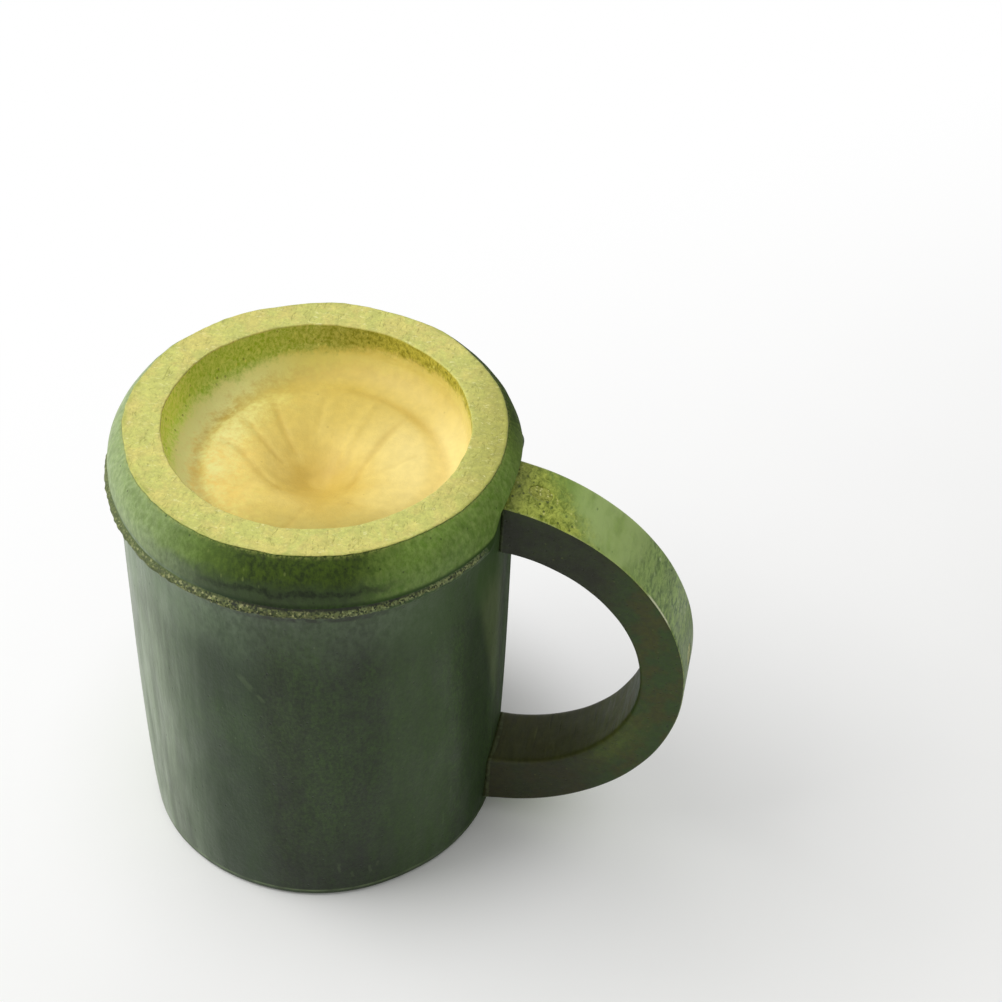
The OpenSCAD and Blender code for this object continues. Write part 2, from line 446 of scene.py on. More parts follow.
def handle_section():
    """Outline of the handle's slice as (share from the hole to the skin, sideways offset, zone)."""
    wall = SKIN_R - HOLE_R
    half = HANDLE_W / 2
    corners = [(0, -half), (wall, -half), (wall, half), (0, half)]
    edges = [HOLE_EDGE_ROUND, SKIN_EDGE_ROUND, SKIN_EDGE_ROUND, HOLE_EDGE_ROUND]
    zones = ["cut", "skin", "cut", "hole"]
    out = []
    for i, corner in enumerate(corners):
        nxt, after = corners[(i + 1) % 4], corners[(i + 2) % 4]
        ease = rounded_corner(corner, nxt, after, edges[(i + 1) % 4], HANDLE_CORNER_STEPS)
        start = rounded_corner(corners[i - 1], corner, nxt, edges[i], HANDLE_CORNER_STEPS)[-1]
        straight = respaced([start, ease[0]], 0.75)
        out += [(u / wall, v, zones[i]) for u, v in straight]
        out += [(u / wall, v, zones[i] if k < HANDLE_CORNER_STEPS / 2 else zones[(i + 1) % 4])
                for k, (u, v) in enumerate(ease[1:-1], 1)]
    return out


def ring_point(u, degrees):
    """A point of the handle's ring: u is 0 at the hole and 1 at the skin."""
    a = math.radians(degrees)
    r = lerp(HOLE_R, SKIN_R, u)
    return lerp(HOLE_X, SKIN_X, u) + r * math.cos(a), lerp(HOLE_Z, SKIN_Z, u) + r * math.sin(a)


def ring_end(u, v, low, high):
    """Angle at which a line along the ring meets the culm."""
    for _ in range(END_CUT_STEPS):
        mid = (low + high) / 2
        x, z = ring_point(u, mid)
        outside = math.hypot(x, v) > culm_radius(math.atan2(v, x), z) + COPE_GAP
        low, high = (mid, high) if outside else (low, mid)
    return low


def handle_point(u, v, degrees, away):
    """A point of the handle with its unevenness, which fades out as away goes to 0."""
    x, z = ring_point(u, degrees)
    side = 1 if v > 0 else -1
    flank = smooth(0.78, 0.94, abs(v) * 2 / HANDLE_W)
    inward = flank * 0.1 * (1 + ripple(x, 9 * side, z, 14, 21))
    out = 0.1 * ripple(x, v, z, 7, 22) * smooth(0.5, 0.0, u)
    out -= 0.07 * (1 + ripple(x, v, z, 9, 23)) * smooth(0.6, 1.0, u)
    a = math.radians(degrees)
    return x + out * away * math.cos(a), v - side * inward * away, z + out * away * math.sin(a)


def make_handle(materials):
    """The handle: a slice of culm wall, bent as it grew and coped to the cup at both ends."""
    section = handle_section()
    count = len(section)
    ends = [(ring_end(u, v, 0, -120), ring_end(u, v, 0, 120)) for u, v, _ in section]
    vertices, faces, zones = [], [], []
    for s in range(HANDLE_STEPS + 1):
        t = s / HANDLE_STEPS
        away = smooth(0.0, 0.03, t) * smooth(1.0, 0.97, t)
        for (u, v, _), (low, high) in zip(section, ends):
            vertices.append(handle_point(u, v, lerp(low, high, t), away))
    for s in range(HANDLE_STEPS):
        a, b = s * count, (s + 1) * count
        for k, (_, _, zone) in enumerate(section):
            n = (k + 1) % count
            faces.append((a + k, b + k, b + n, a + n))
            zones.append(zone)
    faces.append(tuple(range(count)))
    faces.append(tuple(HANDLE_STEPS * count + k for k in range(count - 1, -1, -1)))
    zones += ["cut", "cut"]
    handle = put("bamboo_handle", vertices, faces, zones, materials)
    for hole in PEG_HOLES:
        bore(handle, *hole)
    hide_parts("handle")


def aim(thing, place, way):
    """Puts an object at a place in metres, with its +Z along a direction."""
    thing.matrix_world = Matrix.Translation(place) @ way.to_track_quat("Z", "Y").to_matrix().to_4x4()


def bore(piece, degrees, slant, diameter, depth):
    """Cuts a straight hole for a peg into the piece, from past the skin."""
    past = 3.0
    a, tilt = math.radians(degrees), math.radians(slant)
    mouth = Vector((SKIN_X + SKIN_R * math.cos(a), 0, SKIN_Z + SKIN_R * math.sin(a)))
    way = Vector((math.cos(tilt), 0, math.sin(tilt)))
    cutter_mesh = bpy.data.meshes.new("bore")
    shape = bmesh.new()
    r = diameter / 2 * MM
    bmesh.ops.create_cone(
        shape, cap_ends=True, segments=BORE_SIDES, radius1=r, radius2=r, depth=(depth + past) * MM
    )
    shape.to_mesh(cutter_mesh)
    shape.free()
    cutter = add("bore", cutter_mesh)
    aim(cutter, (mouth + way * (past - depth) / 2) * MM, way)
    cut = piece.modifiers.new("bore", "BOOLEAN")
    cut.object = cutter
    cut.operation = "DIFFERENCE"
    cut.solver = "EXACT"
    bpy.context.view_layer.update()
    graph = bpy.context.evaluated_depsgraph_get()
    whole = bpy.data.meshes.new_from_object(piece.evaluated_get(graph))
    piece.modifiers.remove(cut)
    old = piece.data
    piece.data = whole
    bpy.data.meshes.remove(old)
    bpy.data.objects.remove(cutter)
    bpy.data.meshes.remove(cutter_mesh)


# Materials: colours are display values from 0 to 255, places and sizes are in mm

class Nodes:
    """The node tree of a material or a world, with short calls for the nodes used here."""

    def __init__(self, owner, out):
        owner.use_nodes = True
        self.tree = owner.node_tree
        self.tree.nodes.clear()
        self.out = self.node(out)

    def node(self, kind, **settings):
        made = self.tree.nodes.new(kind)
        for key, value in settings.items():
            setattr(made, key, value)
        return made

    def feed(self, socket, value):
        value = value.value if isinstance(value, Colour) else value
        if isinstance(value, bpy.types.NodeSocket):
            self.tree.links.new(value, socket)
        elif socket.type == "VECTOR":
            socket.default_value = value[:3]
        elif socket.type == "RGBA":
            socket.default_value = srgb(*value)
        else:
            socket.default_value = value

    def calc(self, operation, a, b=0.0):
        made = self.node("ShaderNodeMath", operation=operation)
        self.feed(made.inputs[0], a)
        self.feed(made.inputs[1], b)
        return made.outputs[0]

    def both(self, first, *others):
        """The product: 1 only where all the values are 1."""
        for other in others:
            first = self.calc("MULTIPLY", first, other)
        return first

    def plus(self, a, b):
        return self.calc("ADD", a, b)

    def minus(self, a, b):
        return self.calc("SUBTRACT", a, b)

    def most(self, a, b):
        return self.calc("MAXIMUM", a, b)

    def length(self, u, v):
        return self.calc("SQRT", self.plus(self.both(u, u), self.both(v, v)))

    def span(self, value, low, high, to_low=0.0, to_high=1.0, way="SMOOTHSTEP"):
        """A turn from to_low to to_high as the value goes from low to high."""
        made = self.node("ShaderNodeMapRange", interpolation_type=way)
        self.feed(made.inputs["Value"], value)
        for name, limit in zip(("From Min", "From Max", "To Min", "To Max"), (low, high, to_low, to_high)):
            made.inputs[name].default_value = limit
        return made.outputs["Result"]

    def band(self, value, low, full, still_full, high):
        """1 between full and still_full, and 0 below low and above high."""
        return self.both(self.span(value, low, full), self.span(value, high, still_full))

    def sees_white(self):
        """1 for camera, glossy and transmission rays, which see plain white, and 0 for the rest."""
        rays = self.node("ShaderNodeLightPath").outputs
        seen = self.most(rays["Is Camera Ray"], rays["Is Glossy Ray"])
        return self.most(seen, rays["Is Transmission Ray"])

    def blend(self, share, a, b):
        """Puts out the shader a, or b as far as the share goes."""
        made = self.node("ShaderNodeMixShader")
        for socket, value in zip(made.inputs, (share, a.outputs[0], b.outputs[0])):
            self.feed(socket, value)
        self.feed(self.out.inputs["Surface"], made.outputs[0])


class Paint(Nodes):
    """A material, painted by place on the cup."""

    def __init__(self, name, ior):
        self.material = bpy.data.materials.new(name)
        super().__init__(self.material, "ShaderNodeOutputMaterial")
        self.bsdf = self.node("ShaderNodeBsdfPrincipled")
        self.bsdf.inputs["IOR"].default_value = ior
        self.feed(self.out.inputs["Surface"], self.bsdf.outputs[0])
        place = self.node("ShaderNodeTexCoord").outputs["Object"]
        self.place = self.vector("MULTIPLY", place, (1 / MM, 1 / MM, 1 / MM))
        split = self.node("ShaderNodeSeparateXYZ")
        self.feed(split.inputs[0], self.place)
        self.x, self.y, self.z = split.outputs
        self.radius = self.length(self.x, self.y)

    # Places

    def vector(self, operation, value, by):
        made = self.node("ShaderNodeVectorMath", operation=operation)
        self.feed(made.inputs[0], value)
        self.feed(made.inputs[1], by)
        return made.outputs[0]

    def toward(self, degrees):
        """How far a point lies from the axis toward a direction round it."""
        a = math.radians(degrees)
        return self.plus(self.both(self.x, math.cos(a)), self.both(self.y, math.sin(a)))

    def side(self, degrees, low, high, to_low=0.0, to_high=1.0):
        return self.span(self.toward(degrees), low, high, to_low, to_high)

    def over_scar(self):
        """Height over the middle of the scar, which sags toward the front."""
        return self.plus(self.minus(self.z, SCAR_Z), self.side(SAG, 8.7, 30.5))

    # Patterns

    def texture(self, kind, size, along, shift):
        """A texture with features about size mm across, stretched where along is under 1."""
        made = self.node(kind)
        place = self.vector("ADD", self.vector("MULTIPLY", self.place, along), shift)
        self.feed(made.inputs["Vector"], place)
        made.inputs["Scale"].default_value = 1 / size
        return made

    def noise(self, size, seed, along=(1, 1, 1), detail=3, rough=0.6, twist=0.0):
        made = self.texture("ShaderNodeTexNoise", size, along, (seed, seed * 1.7, seed * 0.6))
        made.inputs["Detail"].default_value = detail
        made.inputs["Roughness"].default_value = rough
        made.inputs["Distortion"].default_value = twist
        return made.outputs["Fac"]

    def parts(self, colour):
        """The three parts of a colour, for several chance values in one place."""
        split = self.node("ShaderNodeSeparateColor")
        self.feed(split.inputs[0], colour)
        return list(split.outputs)

    def cells(self, size, along=(1, 1, 1), seed=0.0, output="Distance"):
        """Distance from the nearest of scattered points about size mm apart."""
        made = self.texture("ShaderNodeTexVoronoi", size, along, (seed, seed * 1.3, seed * 0.8))
        return made.outputs[output]

    def speckle(self, size, reach, along=(1, 1, 1), seed=0.0, keep=0.5):
        """Scattered dots of reach times the spacing, of which only a share is kept."""
        chance = self.parts(self.cells(size, along, seed, "Color"))[0]
        dot = self.span(self.cells(size, along, seed), reach, reach * 0.45)
        return self.both(dot, self.calc("GREATER_THAN", chance, 1 - keep))

    def scratch(self, degrees, height, lean, length, width):
        """A fine mark on the culm's side, with its middle at an angle round it and a height."""
        tilt = math.radians(lean)
        u, v = self.toward(degrees + 90), self.minus(self.z, height)
        u = self.plus(u, self.both(self.noise(1.5, 16, detail=2, rough=0.5), 0.7))
        across = self.plus(self.both(u, math.cos(tilt)), self.both(v, math.sin(tilt)))
        along = self.minus(self.both(v, math.cos(tilt)), self.both(u, math.sin(tilt)))
        narrow = self.span(self.calc("ABSOLUTE", across), width, width * 0.3)
        short = self.span(self.calc("ABSOLUTE", along), length / 2, length * 0.2)
        return self.both(narrow, short, self.side(degrees, 30, 36))

    # Colours

    def mix(self, share, a, b):
        made = self.node("ShaderNodeMix", data_type="RGBA", blend_type="MIX", clamp_factor=True)
        for socket, value in zip((made.inputs[0], made.inputs[6], made.inputs[7]), (share, a, b)):
            self.feed(socket, value)
        return Colour(self, made.outputs[2])

    def ramp(self, value, low, high, a, b):
        return self.mix(self.span(value, low, high), a, b)

    # The finish

    def bump(self, *layers):
        """Chains bumps, each given as (height, depth in mm)."""
        normal = None
        for height, depth in layers:
            made = self.node("ShaderNodeBump")
            made.inputs["Strength"].default_value = 1.0
            made.inputs["Distance"].default_value = depth * MM
            self.feed(made.inputs["Height"], height)
            if normal:
                self.feed(made.inputs["Normal"], normal)
            normal = made.outputs[0]
        self.feed(self.bsdf.inputs["Normal"], normal)

    def done(self, colour, roughness):
        self.feed(self.bsdf.inputs["Base Color"], colour)
        self.feed(self.bsdf.inputs["Roughness"], roughness)
        return self.material


class Colour:
    """A colour that is painted over step by step."""

    def __init__(self, paint, value):
        self.paint, self.value = paint, value

    def over(self, shade, *shares):
        """Lays a shade over it, as far as all the shares let it."""
        self.value = self.paint.mix(self.paint.both(*shares), self.value, shade).value
        return self

    def dots(self, shade, share, *pattern, **more):
        """Lays a shade over it in scattered dots, as speckle() makes them."""
        return self.over(shade, self.paint.speckle(*pattern, **more), share)

    def tone(self, value, low, high):
        """Makes it darker or lighter by a value, from low times to high times."""
        made = self.paint.node("ShaderNodeVectorMath", operation="SCALE")
        self.paint.feed(made.inputs[0], self.value)
        self.paint.feed(made.inputs["Scale"], self.paint.span(value, 0.25, 0.75, low, high))
        self.value = made.outputs[0]
        return self


# The culm's skin

# Fine pale marks on the skin: angle round the culm, height, lean in degrees, length and width
SCRATCHES = [
    (-95.6, 71.6, 36, 6.4, 1.0), (-91.4, 67.6, 34, 3.4, 0.7), (-70.1, 10.6, 3, 5.0, 0.5),
    (-66.0, 7.4, 12, 3.0, 0.5), (-60.4, 8.2, 4, 4.2, 0.5), (-57.8, 9.6, -8, 2.6, 0.4),
    (-34.0, 15.0, 2, 7.0, 0.4), (-31.4, 24.0, -8, 4.0, 0.4), (-148.0, 52.0, 14, 7.0, 0.6),
    (128.0, 38.0, -20, 6.4, 0.6), (74.0, 61.0, 30, 5.6, 0.6),
]


def culm_skin(name, ior):
    """Dark green bamboo skin under clear lacquer."""
    p = Paint(name, ior)
    left, right = p.toward(LEFT), p.toward(RIGHT)
    patches = p.noise(20, 1, (1, 1, 0.5), rough=0.55, twist=0.6)
    streaks = p.noise(1.0, 3, (1, 1, 0.06))
    wavy_height = p.plus(p.z, p.both(p.noise(9, 4, (1, 1, 0.5)), -14))
    pits = p.speckle(2.0, 0.14, (1, 1, 0.7), 9, 0.35)
    colour = living_green(p, right, patches, streaks)
    beside_flat(p, colour, right, patches, wavy_height)
    bloom_and_left_highlight(p, colour, left, streaks, wavy_height)
    shoulder_colours(p, colour, left, right)
    skin_wear_and_painted_light(p, colour, pits)
    grit = p.noise(0.7, 20, (1, 1, 0.5), rough=0.65)
    lumps = p.noise(2.8, 11, (1, 1, 0.45), 4)
    p.bump((streaks, 0.02), (lumps, 0.08), (grit, 0.09), (pits, -0.05))
    gloss = p.span(p.noise(5, 12, (1, 1, 0.3), 4), 0.3, 0.7, 0.34, 0.5)
    return p.done(colour, p.plus(gloss, p.side(ACROSS, 27, 36, 0, 0.42)))


def living_green(p, right, patches, streaks):
    """The skin's own green, livelier to the right."""
    colour = p.ramp(patches, 0.35, 0.65, (19, 27, 9), (33, 48, 16))
    lively = p.span(p.noise(14, 13, (1, 1, 0.3), rough=0.5), 0.3, 0.6, 0.35, 0.95)
    colour.over((38, 62, 8), p.span(right, 4, 38), lively)
    colour.tone(p.noise(2.2, 2, (1, 1, 0.45), 4, 0.65), 0.72, 1.3)
    colour.tone(p.noise(0.8, 18, (1, 1, 0.7), rough=0.7), 0.52, 1.46)
    return colour.tone(streaks, 0.9, 1.12)


def beside_flat(p, colour, right, patches, wavy_height):
    """Painted shade low at the front and beside the flat, fresher green above, and a pale strip of planed
    skin with a painted reflection.
    """
    toward_flat = p.toward(ACROSS)
    # Painted shade: darker low on the front
    colour.over((12, 17, 8), p.span(p.z, 34, 8), p.side(FRONT, 30, 41), 0.5)
    colour.over((56, 84, 28), p.span(right, 33, 38), p.span(toward_flat, 30, 25), 0.35)
    # Painted shade: darker green beside the flat, on the near side of the handle
    colour.over((18, 38, 0), p.band(toward_flat, 28, 32, 35, 39), p.span(p.y, 0, -6, 0, 0.6))
    # A pale strip by the flat: lighter planed skin with a painted reflection along the edge
    strip = p.span(p.plus(toward_flat, p.both(p.z, 0.14)), 43.0, 45.0, 0, 0.62)
    strip = p.both(strip, p.span(p.y, 1.5, -7.5), p.span(p.z, 93, 82))
    painted_sheen = p.span(p.noise(5, 22, (1, 1, 0.3)), 0.25, 0.6, 0.6, 1.0)
    colour.over((98, 114, 66), strip, painted_sheen)
    fresh = p.both(p.span(wavy_height, 68, 78), p.side(RIGHT, 31, 38))
    colour.over((44, 72, 10), fresh, p.span(patches, 0.3, 0.6, 0.3, 0.8))


def bloom_and_left_highlight(p, colour, left, streaks, wavy_height):
    """The skin's pale wax with a painted highlight along the left side, and the wax as a haze below the
    scar.
    """
    bloom_and_sheen = p.span(p.noise(4, 15, (1, 1, 0.12)), 0.25, 0.7, 0.45, 0.95)
    # Painted highlight: the pale left side stands for light reflected there, over the wax
    pale_side = p.span(p.plus(left, p.span(p.z, 76, 84, 0, 3)), 21.5, 41)
    colour.over((146, 160, 134), pale_side, bloom_and_sheen, p.span(streaks, 0.25, 0.7, 0.75, 1.0))
    colour.over((90, 126, 76), p.span(left, 10, 18, 0, 0.15), p.span(left, 36, 29))
    haze = p.span(p.noise(1.2, 5, (1, 1, 0.5), 4, 0.65), 0.3, 0.7, 0.18, 0.52)
    haze = p.both(haze, p.span(wavy_height, 66, 86), p.span(p.over_scar(), 1.5, -0.5))
    colour.over((108, 128, 96), haze, p.span(left, 8, 26, 0.8, 1.4), p.side(20, 28, 12))


def planed_green(p, grit, left, right):
    """Green bared by the plane below the rim, with painted highlights making it brighter toward both
    sides.
    """
    colour = p.ramp(grit, 0.32, 0.68, (32, 47, 4), (68, 88, 16))
    # Painted highlights: brighter toward the right here and toward the left below
    colour.over(p.mix(grit, (84, 112, 28), (134, 156, 72)), p.span(right, 30, 40), 0.85)
    return colour.over(p.mix(grit, (84, 112, 34), (114, 138, 62)), p.span(left, 12, 27), 0.8)


def shoulder_colours(p, colour, left, right):
    """The node's shoulder: brighter below the rim, and pale to the left and by the handle, where painted
    highlights lie over the planed skin.
    """
    height = p.plus(p.z, p.both(p.noise(4.5, 6, (1, 1, 0.8), 4, 0.65, 0.5), 6))
    grit = p.noise(1.0, 7, (1, 1, 0.6), 4, 0.7)
    above = p.span(p.over_scar(), 1.2, 2.8)
    colour.over((62, 78, 42), above, 0.6)
    colour.over(planed_green(p, grit, left, right), p.span(height, 104.6, 108.2), 0.85)
    # Planed skin by the handle, paler toward its edge as a painted reflection
    pale = p.ramp(grit, 0.3, 0.7, (100, 134, 46), (138, 164, 84))
    colour.over(pale, above, p.span(right, 30, 40, 0, 0.8), p.side(80, 14, 0, 0.3, 1.0))
    # Painted highlight: pale on the left, over the planed skin
    pale = p.ramp(grit, 0.3, 0.7, (134, 154, 98), (156, 173, 122))
    colour.over(pale, above, p.span(p.plus(left, p.both(grit, 8)), 25, 48, 0, 0.9))
    mottled = Colour(p, colour.value).tone(p.noise(1.5, 19, (1, 1, 0.6), rough=0.7), 0.84, 1.16)
    colour.over(mottled, above)
    crease = p.both(p.band(height, 103.2, 104.5, 104.7, 105.9), p.span(grit, 0.25, 0.6, 0.1, 0.85))
    colour.over((16, 28, 2), crease, p.side(FRONT - 6, 37, 43))
    pale_edge = p.span(p.noise(0.6, 8), 0.4, 0.62)
    colour.over((150, 158, 80), p.span(p.z, CUP_H - 1.0, CUP_H - 0.2), pale_edge, 0.5)
    hairs = p.speckle(1.6, 0.2, (1, 1, 0.4), 17, 0.35)
    colour.over((120, 134, 70), hairs, p.span(p.z, SCAR_Z + 2, SCAR_Z + 6), 0.4)


def skin_wear_and_painted_light(p, colour, pits):
    """A painted shadow line under the scar's lip, pits, specks and scratches, and a painted highlight
    along the foot's edge.
    """
    ragged = p.span(p.noise(2, 21), 0.35, 0.55, 0.15, 0.8)
    # Painted shadow: a dark ragged line under the scar's lip, on the front
    under_lip = p.band(p.over_scar(), -4.6, -3.8, -2.5, -2.2)
    colour.over((24, 32, 12), under_lip, ragged, p.side(-76, 37, 42))
    colour.over((14, 20, 6), pits, 0.5)
    colour.dots((112, 128, 84), 0.25, 2.6, 0.09, (1, 1, 0.5), 10, 0.25)
    for place in SCRATCHES:
        colour.over((134, 158, 104), p.scratch(*place), 0.1)
    colour.over((44, 64, 24), p.span(p.z, 1.8, 1.5), 0.6)
    patchy = p.span(p.noise(5, 14), 0.3, 0.6, 0.1, 0.45)
    # Painted highlight: a pale line along the foot's bevel, on the front left
    foot_line = p.both(p.band(p.z, 1.5, 1.75, 2.05, 2.4), p.side(-112, -20, 30, 0.3, 1.0))
    colour.over((132, 152, 104), foot_line, patchy)


# The scar, the sawn ends, the bowl and the hollow

def worn_to_skin(p, over):
    """1 where the scar is worn down to the skin: along its edges, most on the right, and at the flat."""
    edges = p.most(p.span(over, 0.6, 1.2), p.span(over, -0.5, -1.1))
    edges = p.most(edges, p.both(p.span(over, 0.2, -0.3), p.side(RIGHT, 32, 38)))
    ragged = p.span(p.noise(1.1, 4), 0.3, 0.6, 0.5, 1.0)
    return p.most(p.both(edges, ragged), p.side(ACROSS, 31, 35))


def scar_material():
    """The sheath scar: a torn, granular lip, olive with small tan and dark grains, lighter to the left as
    painted light, with a painted shadow line along its top at the front.
    """
    p = Paint("sheath_scar", 1.4)
    base, tan, dark = p.parts(p.cells(0.4, seed=1, output="Color"))
    colour = p.ramp(base, 0.1, 0.9, (44, 56, 20), (104, 112, 62))
    colour.over((166, 166, 112), p.span(tan, 0.75, 0.93, 0, 0.8))
    colour.over((24, 32, 10), p.span(dark, 0.65, 0.88, 0, 0.85))
    colour.tone(p.noise(2.4, 2), 0.6, 1.2)
    # Painted light: lighter toward the left
    colour.over((104, 118, 66), p.side(LEFT, 16, 40, 0, 0.45))
    colour.over((150, 164, 106), p.side(RIGHT, 22, 36, 0, 0.55), p.span(tan, 0.4, 0.7))
    skin = p.mix(p.side(RIGHT, 10, 36), (34, 46, 16), (50, 76, 32))
    # Painted light: the skin under the worn scar is lighter to the left too
    skin.over((84, 102, 58), p.side(LEFT, 10, 34))
    over = p.over_scar()
    colour.over(skin, worn_to_skin(p, over))
    # Painted shade: a dark crevice line along the scar's top edge at the front
    crevice_shade = p.span(p.noise(2, 5), 0.3, 0.5, 0.2, 0.9)
    colour.over((18, 24, 8), p.span(over, 0.5, 0.75), crevice_shade, p.side(-72, 38, 42))
    p.bump((p.cells(0.45, seed=1), 0.08), (p.noise(0.3, 3), 0.05))
    return p.done(colour, 0.6)


def sawn_material():
    """The culm's sawn ends: pale wood with small dots of bundle ends, greener to the skin."""
    p = Paint("sawn_culm", 1.42)
    patches = p.noise(6, 1, detail=4, rough=0.62, twist=0.6)
    colour = p.ramp(patches, 0.36, 0.6, (210, 201, 112), (199, 200, 108))
    stain = p.span(p.noise(4, 8, detail=4, rough=0.65), 0.54, 0.7)
    colour.over((206, 184, 112), stain, 0.3)
    colour.over((168, 166, 80), p.side(8, 26, 40, 0, 0.9))
    coarse = p.noise(1.7, 9, (1, 1, 0.3), 4, 0.7)
    grain = p.noise(0.6, 2, (1, 1, 0.3), 5, 0.75)
    colour.tone(coarse, 0.86, 1.1).tone(grain, 0.82, 1.14)
    strokes = p.span(p.noise(0.9, 11, (1, 0.35, 0.3), rough=0.7, twist=1.2), 0.56, 0.7)
    colour.over((142, 140, 54), strokes, 0.5)
    sparks = p.span(p.noise(0.8, 12, (0.4, 1, 0.3), rough=0.7, twist=1.0), 0.58, 0.7)
    colour.over((240, 236, 172), sparks, 0.5)
    colour.dots((128, 118, 44), 0.45, 2.3, 0.15, (1, 0.7, 0.08), 4, 0.35)
    wavy_radius = p.plus(p.radius, p.both(p.noise(1.8, 6, detail=4, rough=0.65), 2.8))
    colour.over((146, 156, 62), p.span(wavy_radius, RIM_R + 0.5, RIM_R + 1.7), 0.6)
    p.bump((grain, 0.05), (strokes, -0.05), (coarse, 0.09))
    return p.done(colour, p.span(grain, 0.3, 0.7, 0.46, 0.62))


def diaphragm_cream(p, soft):
    """The diaphragm's cream, with painted light paler to the right and left, painted shade darker at the
    back, front and folds, and a browner middle that is partly painted shade.
    """
    colour = p.ramp(soft, 0.35, 0.65, (225, 199, 104), (235, 211, 120))
    # Painted light: paler toward the right and the left
    colour.over((233, 214, 140), p.side(18, 4, 23, 0, 0.85))
    colour.over((249, 212, 114), p.side(LEFT, 10, 24, 0, 0.95))
    # Painted shade: darker at the back
    back = p.plus(p.both(p.toward(FRONT), -1.0), p.both(soft, 8))
    colour.over((205, 180, 82), p.span(back, 6, 20, 0, 0.6))
    # Painted shade: darker at the front
    colour.over((158, 144, 64), p.side(FRONT, 8, 26, 0, 0.75))
    colour.tone(p.noise(2.0, 2, (1, 1, 0.6), rough=0.55), 0.95, 1.05)
    # A browner middle, partly painted shade of the funnel
    middle = p.plus(p.radius, p.both(p.noise(5, 3), 8))
    middle = p.minus(middle, p.both(p.toward(-60), 0.45))
    colour.over((196, 162, 66), p.span(middle, 17, 7, 0, 0.62))
    # Painted shade in the folds and along the ring, from the fold attribute
    fold_shade = p.node("ShaderNodeAttribute", attribute_name="fold").outputs["Fac"]
    return colour.over((186, 152, 62), p.span(fold_shade, 0.05, 1.0, 0, 0.4))


def bored_green(p, left, fibre):
    """The bored wall's torn green fibre: painted light makes it brighter to the left; deeper at the back.
    """
    # Painted light: the left wall, in shade, is given paler greens
    deep = p.ramp(left, -14, 26, (140, 134, 32), (204, 236, 80))
    bright = p.ramp(left, -14, 26, (198, 190, 74), (246, 255, 150))
    colour = p.ramp(fibre, 0.34, 0.62, deep, bright)
    back = p.ramp(left, 0, 26, (96, 88, 0), (104, 148, 0))
    colour.over(back, p.side(125, 18, 29), p.span(fibre, 0.3, 0.7, 0.55, 0.3))
    colour.dots((96, 108, 14), 0.6, 1.3, 0.26, (1, 1, 0.7), 6, 0.4)
    return colour.dots((232, 232, 130), 0.6, 1.2, 0.26, (1, 1, 0.6), 7, 0.4)


def bowl_material():
    """Green fibre on the bored wall, fraying out into the diaphragm's cream."""
    p = Paint("bowl_inside", 1.42)
    left = p.toward(LEFT - 15)
    soft = p.noise(9, 1, rough=0.5)
    fibre = p.noise(0.8, 5, (1, 1, 0.7), 4, 0.75, 0.4)
    fine, coarse = p.noise(1.2, 4, (1, 1, 0.8), 4, 0.75), p.noise(5, 10)
    ragged = p.plus(p.both(fine, 4.0), p.both(coarse, 4.0))
    frayed = p.plus(p.plus(p.z, p.both(left, 3.4 / BOWL_R)), ragged)
    # The pale halo where the fibre frays out, paler and reaching further to the left as painted light
    halo = p.ramp(left, 6, 26, (230, 222, 116), (255, 252, 172))
    by_halo = p.both(p.span(frayed, 102.0, 105.6), p.span(left, -6, 22, 0.3, 0.9))
    colour = diaphragm_cream(p, soft).over(halo, by_halo)
    colour.over(bored_green(p, left, fibre), p.span(frayed, 105.6, 108.4))
    colour.dots((150, 126, 56), 0.25, 3.5, 0.1, seed=8, keep=0.4)
    p.bump((fibre, 0.08), (soft, 0.1), (p.noise(0.6, 9), 0.02))
    return p.done(colour, p.span(soft, 0.3, 0.7, 0.5, 0.62))


def hollow_material():
    p = Paint("culm_hollow", 1.45)
    patches = p.noise(14, 2, (1, 1, 0.4), rough=0.5)
    fibres = p.noise(0.8, 1, (1, 1, 0.03), 4)
    colour = p.ramp(patches, 0.3, 0.7, (222, 204, 146), (206, 184, 118)).tone(fibres, 0.86, 1.1)
    stain = p.span(p.noise(8, 3, (1, 1, 0.5), 4), 0.55, 0.75)
    colour.over((160, 132, 78), stain, 0.4)
    p.bump((fibres, 0.08), (p.noise(3, 4, (1, 1, 0.3), rough=0.5), 0.1))
    return p.done(colour, 0.62)


# The handle and the pegs

def sheen_green(p, patches):
    """The handle's own green, with a painted highlight half-way along."""
    colour = p.ramp(patches, 0.3, 0.7, (106, 134, 48), (126, 152, 68))
    colour.tone(p.noise(1.4, 11, (1, 0.5, 1), 4, 0.7), 0.8, 1.2)
    uneven = p.span(p.noise(4, 8, (1, 0.4, 1), rough=0.5), 0.3, 0.6, 0.3, 0.85)
    # Painted highlight across the middle of the handle's outer face
    return colour.over((164, 186, 112), p.band(p.x, 52, 59, 69, 77), uneven)


def outer_green(p, grass):
    """Deeper, streaky green on the handle's outer turn, with pale flecks."""
    colour = p.ramp(grass, 0.32, 0.62, (52, 88, 12), (148, 176, 88))
    flecks = p.speckle(1.5, 0.32, (0.7, 0.7, 1), 12)
    colour.over((188, 202, 150), flecks, p.span(p.y, -6, 7, 0.25, 1.0), 0.8)
    return colour.tone(p.noise(2.4, 14, (1, 0.25, 1), rough=0.65), 0.76, 1.2)


def planed_olive(p, fibre):
    colour = p.ramp(fibre, 0.34, 0.66, (98, 112, 14), (182, 192, 82))
    colour.dots((62, 76, 6), 0.85, 1.2, 0.32, (1, 0.7, 1), 4)
    return colour.dots((212, 210, 126), 0.6, 1.1, 0.28, (1, 0.7, 1), 5, 0.4)


